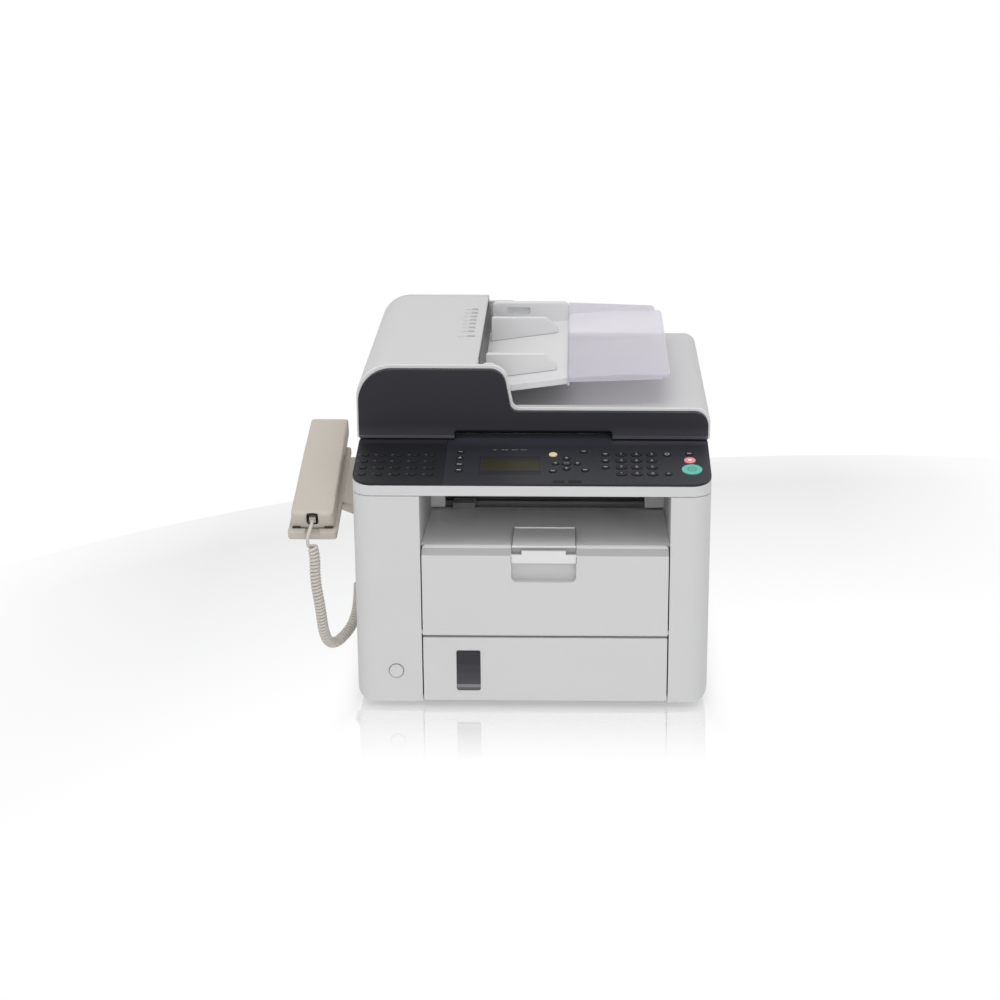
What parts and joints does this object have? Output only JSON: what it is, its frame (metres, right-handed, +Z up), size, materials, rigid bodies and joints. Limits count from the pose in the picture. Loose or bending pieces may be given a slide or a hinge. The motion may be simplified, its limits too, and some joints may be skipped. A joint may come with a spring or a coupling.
{
  "type": "fax machine",
  "caption": "Desktop laser fax machine with a document feeder, sloped key panel, paper exit and cassette, and a handset on a side cradle with a curly cord.",
  "frame": {"origin": "middle of the bounding box's bottom face, on the table, cord left out", "axes": "+X to the right seen from the front, +Y to the back, +Z up"},
  "size_m": [0.467, 0.4365, 0.3632],
  "materials": {
    "body_white": "fine matt moulded plastic, light warm grey",
    "panel_dark": "satin blue-black plastic",
    "key_dark": "satin black keys with pale print",
    "steel": "zinc plated sheet and ground rod",
    "rubber": "dark rubber",
    "inner_grey": "grey moulded plastic",
    "inner_black": "black moulded plastic",
    "board_green": "green lacquered board",
    "socket_black": "black socket plastic",
    "handset_beige": "beige matt plastic",
    "cord_beige": "soft beige plastic",
    "window_smoked": "smoked gloss plastic",
    "platen_glass": "clear float glass",
    "display_lens": "dark display lens",
    "start_mint": "mint green gloss key",
    "stop_salmon": "salmon gloss key",
    "id_yellow": "pale yellow gloss key",
    "sheet_white": "white backing sheet",
    "tray_clear": "faintly lilac clear plastic"
  },
  "bodies": {
    "main_unit": {"base_pan": "inner_grey", "feet": "rubber", "left_cover": "body_white", "right_cover": "body_white", "side_plates": "steel", "output_tray": "body_white", "rear_panel": "body_white", "laser_unit": "inner_black", "toner_cartridge": "inner_black", "circuit_boards": "board_green", "phone_jacks": "socket_black", "rear_ports": "socket_black", "cradle": "handset_beige", "curly_cord": "cord_beige"},
    "scanner_unit": {"scanner_base": "body_white", "control_panel": "panel_dark", "platen_glass": "platen_glass", "display_window": "display_lens", "carriage_rod": "steel", "lid_hinges": "inner_grey"},
    "lid": {"lid_body": "body_white", "lid_fascia": "panel_dark", "platen_sheet": "sheet_white"},
    "cassette": {"cassette_tray": "inner_grey", "cassette_front": "body_white", "cassette_window": "window_smoked"},
    "document_tray": {"document_tray": "body_white", "tray_extension": "tray_clear"},
    "pickup_roller": {"pickup_roller": "rubber"},
    "fuser_roller": {"fuser_roller": "rubber"},
    "delivery_roller": {"delivery_roller": "rubber"},
    "front_cover": {"front_cover": "body_white"},
    "paper_stopper": {"paper_stopper": "body_white"},
    "lift_plate": {"lift_plate": "steel"},
    "rear_cover": {"rear_cover": "body_white"},
    "power_button": {"power_button": "body_white"},
    "handset": {"handset": "handset_beige"},
    "hook_switch": {"hook_switch": "handset_beige"},
    "scan_carriage": {"scan_carriage": "inner_black"},
    "adf_cover": {"adf_cover": "body_white"},
    "adf_roller": {"adf_roller": "rubber"},
    "guide_front": {"guide_front": "body_white"},
    "guide_rear": {"guide_rear": "body_white"},
    "key_1": {"key_1": "key_dark"},
    "key_2": {"key_2": "key_dark"},
    "key_3": {"key_3": "key_dark"},
    "key_4": {"key_4": "key_dark"},
    "key_5": {"key_5": "key_dark"},
    "key_6": {"key_6": "key_dark"},
    "key_7": {"key_7": "key_dark"},
    "key_8": {"key_8": "key_dark"},
    "key_9": {"key_9": "key_dark"},
    "key_star": {"key_star": "key_dark"},
    "key_0": {"key_0": "key_dark"},
    "key_hash": {"key_hash": "key_dark"},
    "start_key": {"start_key": "start_mint"},
    "stop_key": {"stop_key": "stop_salmon"},
    "id_key": {"id_key": "id_yellow"},
    "one_touch_keys": {"one_touch_keys": "key_dark"},
    "menu_keys": {"menu_keys": "key_dark"}
  },
  "joints": [
    {"name": "scanner_lift", "type": "hinge", "parent": "main_unit", "child": "scanner_unit", "pos_m": [0.0365, 0.1835, 0.236], "axis": [-1, 0, 0], "range_deg": [0, 20]},
    {"name": "lid_hinge", "type": "hinge", "parent": "scanner_unit", "child": "lid", "pos_m": [0.0365, 0.2065, 0.286], "axis": [-1, 0, 0], "range_deg": [0, 70]},
    {"name": "adf_cover_hinge", "type": "hinge", "parent": "lid", "child": "adf_cover", "pos_m": [-0.156, 0.0495, 0.324], "axis": [0, -1, 0], "range_deg": [0, 75]},
    {"name": "document_tray_hinge", "type": "hinge", "parent": "lid", "child": "document_tray", "pos_m": [-0.0135, 0.0495, 0.348], "axis": [0, -1, 0], "range_deg": [0, 40]},
    {"name": "guide_front_slide", "type": "slide", "parent": "document_tray", "child": "guide_front", "axis": [0, 1, 0], "range_m": [-0.024, 0.03]},
    {"name": "guide_rear_slide", "type": "slide", "parent": "document_tray", "child": "guide_rear", "axis": [0, 1, 0], "range_m": [-0.03, 0.024]},
    {"name": "adf_roller_spin", "type": "hinge", "parent": "lid", "child": "adf_roller", "pos_m": [-0.0675, 0.0495, 0.329], "axis": [0, 1, 0], "continuous": true},
    {"name": "carriage_slide", "type": "slide", "parent": "scanner_unit", "child": "scan_carriage", "axis": [1, 0, 0], "range_m": [0, 0.32]},
    {"name": "front_cover_hinge", "type": "hinge", "parent": "main_unit", "child": "front_cover", "pos_m": [0.051, -0.2135, 0.0878], "axis": [1, 0, 0], "range_deg": [0, 80]},
    {"name": "paper_stopper_hinge", "type": "hinge", "parent": "front_cover", "child": "paper_stopper", "pos_m": [0.0495, -0.2075, 0.185], "axis": [1, 0, 0], "range_deg": [0, 45]},
    {"name": "cassette_slide", "type": "slide", "parent": "main_unit", "child": "cassette", "axis": [0, -1, 0], "range_m": [0, 0.28]},
    {"name": "lift_plate_hinge", "type": "hinge", "parent": "cassette", "child": "lift_plate", "pos_m": [0.051, -0.0125, 0.0153], "axis": [-1, 0, 0], "range_deg": [0, 12]},
    {"name": "rear_cover_hinge", "type": "hinge", "parent": "main_unit", "child": "rear_cover", "pos_m": [0.0495, 0.1865, 0.098], "axis": [-1, 0, 0], "range_deg": [0, 80]},
    {"name": "power_press", "type": "slide", "parent": "main_unit", "child": "power_button", "axis": [0, 1, 0], "range_m": [0, 0.002], "stiffness_N_per_m": 300},
    {"name": "pickup_spin", "type": "hinge", "parent": "main_unit", "child": "pickup_roller", "pos_m": [0.051, -0.1575, 0.0966], "axis": [1, 0, 0], "continuous": true},
    {"name": "fuser_spin", "type": "hinge", "parent": "main_unit", "child": "fuser_roller", "pos_m": [0.051, 0.1345, 0.14], "axis": [1, 0, 0], "continuous": true},
    {"name": "delivery_spin", "type": "hinge", "parent": "main_unit", "child": "delivery_roller", "pos_m": [0.051, 0.0005, 0.18], "axis": [1, 0, 0], "continuous": true},
    {"name": "handset_lift", "type": "slide", "parent": "main_unit", "child": "handset", "axis": [0, -0.2504, 0.9681], "range_m": [0, 0.12], "deforming": ["curly_cord"]},
    {"name": "hook_rise", "type": "slide", "parent": "main_unit", "child": "hook_switch", "axis": [0, -0.2504, 0.9681], "range_m": [0, 0.004]},
    {"name": "key_1_press", "type": "slide", "parent": "scanner_unit", "child": "key_1", "axis": [0, 0.1676, -0.9859], "range_m": [0, 0.0008], "stiffness_N_per_m": 400},
    {"name": "key_2_press", "type": "slide", "parent": "scanner_unit", "child": "key_2", "axis": [0, 0.1676, -0.9859], "range_m": [0, 0.0008], "stiffness_N_per_m": 400},
    {"name": "key_3_press", "type": "slide", "parent": "scanner_unit", "child": "key_3", "axis": [0, 0.1676, -0.9859], "range_m": [0, 0.0008], "stiffness_N_per_m": 400},
    {"name": "key_4_press", "type": "slide", "parent": "scanner_unit", "child": "key_4", "axis": [0, 0.1676, -0.9859], "range_m": [0, 0.0008], "stiffness_N_per_m": 400},
    {"name": "key_5_press", "type": "slide", "parent": "scanner_unit", "child": "key_5", "axis": [0, 0.1676, -0.9859], "range_m": [0, 0.0008], "stiffness_N_per_m": 400},
    {"name": "key_6_press", "type": "slide", "parent": "scanner_unit", "child": "key_6", "axis": [0, 0.1676, -0.9859], "range_m": [0, 0.0008], "stiffness_N_per_m": 400},
    {"name": "key_7_press", "type": "slide", "parent": "scanner_unit", "child": "key_7", "axis": [0, 0.1676, -0.9859], "range_m": [0, 0.0008], "stiffness_N_per_m": 400},
    {"name": "key_8_press", "type": "slide", "parent": "scanner_unit", "child": "key_8", "axis": [0, 0.1676, -0.9859], "range_m": [0, 0.0008], "stiffness_N_per_m": 400},
    {"name": "key_9_press", "type": "slide", "parent": "scanner_unit", "child": "key_9", "axis": [0, 0.1676, -0.9859], "range_m": [0, 0.0008], "stiffness_N_per_m": 400},
    {"name": "key_star_press", "type": "slide", "parent": "scanner_unit", "child": "key_star", "axis": [0, 0.1676, -0.9859], "range_m": [0, 0.0008], "stiffness_N_per_m": 400},
    {"name": "key_0_press", "type": "slide", "parent": "scanner_unit", "child": "key_0", "axis": [0, 0.1676, -0.9859], "range_m": [0, 0.0008], "stiffness_N_per_m": 400},
    {"name": "key_hash_press", "type": "slide", "parent": "scanner_unit", "child": "key_hash", "axis": [0, 0.1676, -0.9859], "range_m": [0, 0.0008], "stiffness_N_per_m": 400},
    {"name": "start_key_press", "type": "slide", "parent": "scanner_unit", "child": "start_key", "axis": [0, 0.1676, -0.9859], "range_m": [0, 0.0008], "stiffness_N_per_m": 400},
    {"name": "stop_key_press", "type": "slide", "parent": "scanner_unit", "child": "stop_key", "axis": [0, 0.1676, -0.9859], "range_m": [0, 0.0008], "stiffness_N_per_m": 400},
    {"name": "id_key_press", "type": "slide", "parent": "scanner_unit", "child": "id_key", "axis": [0, 0.1676, -0.9859], "range_m": [0, 0.0008], "stiffness_N_per_m": 400},
    {"name": "one_touch_keys_press", "type": "slide", "parent": "scanner_unit", "child": "one_touch_keys", "axis": [0, 0.1676, -0.9859], "range_m": [0, 0.0008], "stiffness_N_per_m": 400},
    {"name": "menu_keys_press", "type": "slide", "parent": "scanner_unit", "child": "menu_keys", "axis": [0, 0.1676, -0.9859], "range_m": [0, 0.0008], "stiffness_N_per_m": 400}
  ],
  "couplings": [
    {"joint": "guide_rear_slide", "follows": "guide_front_slide", "ratio": -1},
    {"joint": "hook_rise", "follows": "handset_lift", "ratio": 0.033333}
  ]
}
